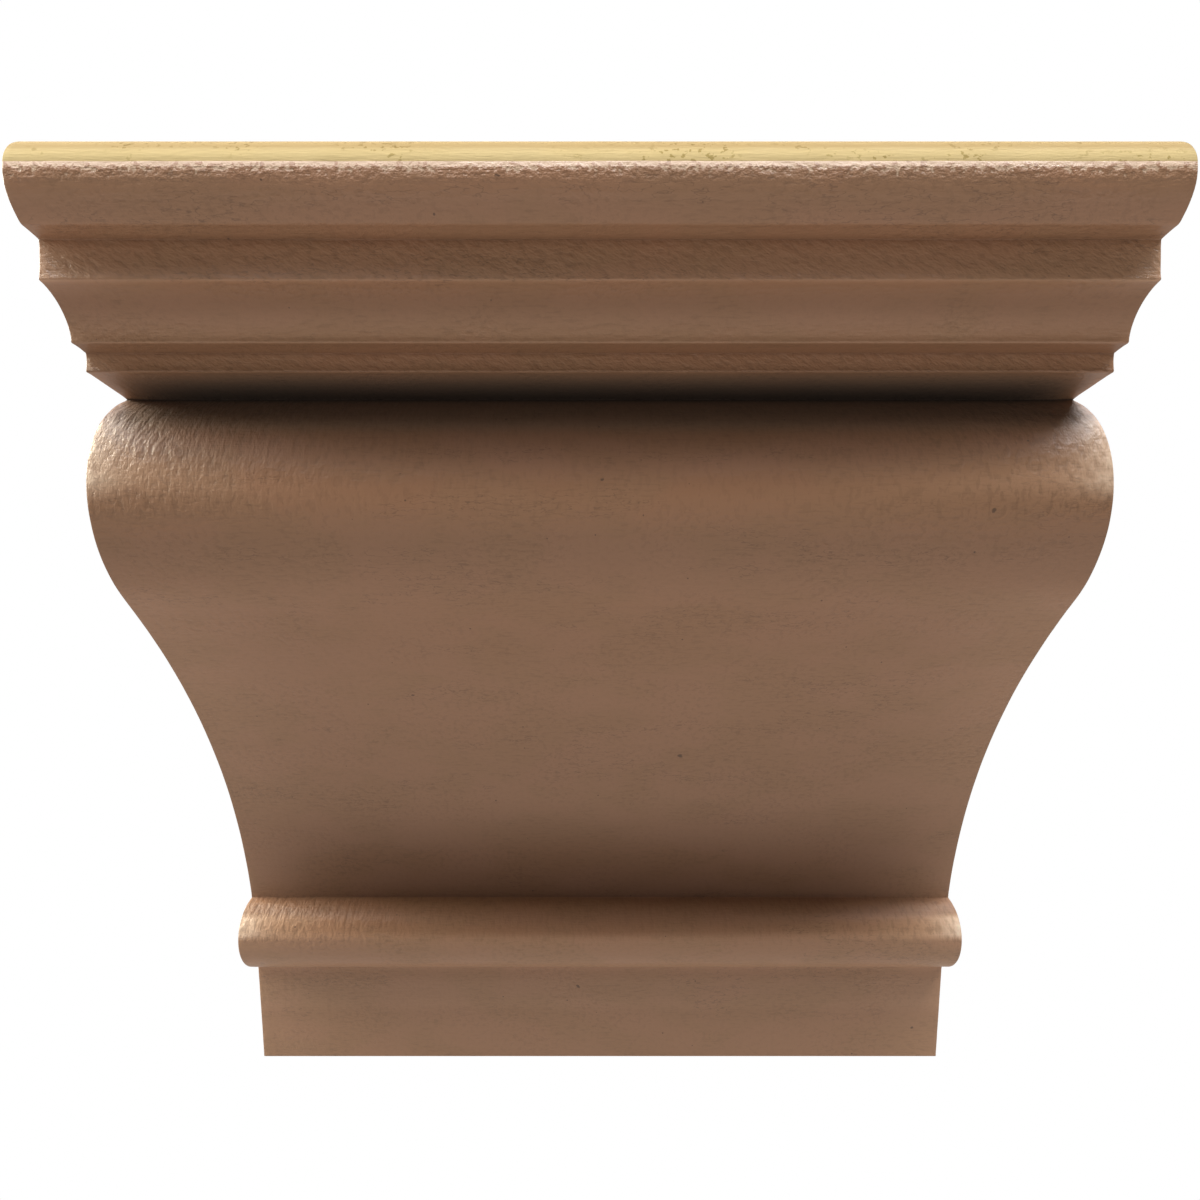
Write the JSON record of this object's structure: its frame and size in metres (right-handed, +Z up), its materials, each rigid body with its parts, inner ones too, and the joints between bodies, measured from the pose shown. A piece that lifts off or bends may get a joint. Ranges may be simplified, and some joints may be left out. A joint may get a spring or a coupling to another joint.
{
  "type": "urethane corbel",
  "caption": "Moulded corbel with a nosed crown, cove, round cushion, long scoop, half-round bead and plinth, built against a wall to carry a shelf, beam or eave.",
  "frame": {"origin": "middle of the flat back face, which goes against the wall", "axes": "+X across the width, to the right as seen from the front; the moulded front faces -Y and +Y points into the wall; +Z up"},
  "size_m": [0.3048, 0.1524, 0.3048],
  "materials": {
    "stained_urethane": "semi-matt brown stain on a rough-sawn cast urethane skin, bare cream foam on the top"
  },
  "bodies": {
    "root": {"corbel": "stained_urethane"}
  },
  "joints": []
}
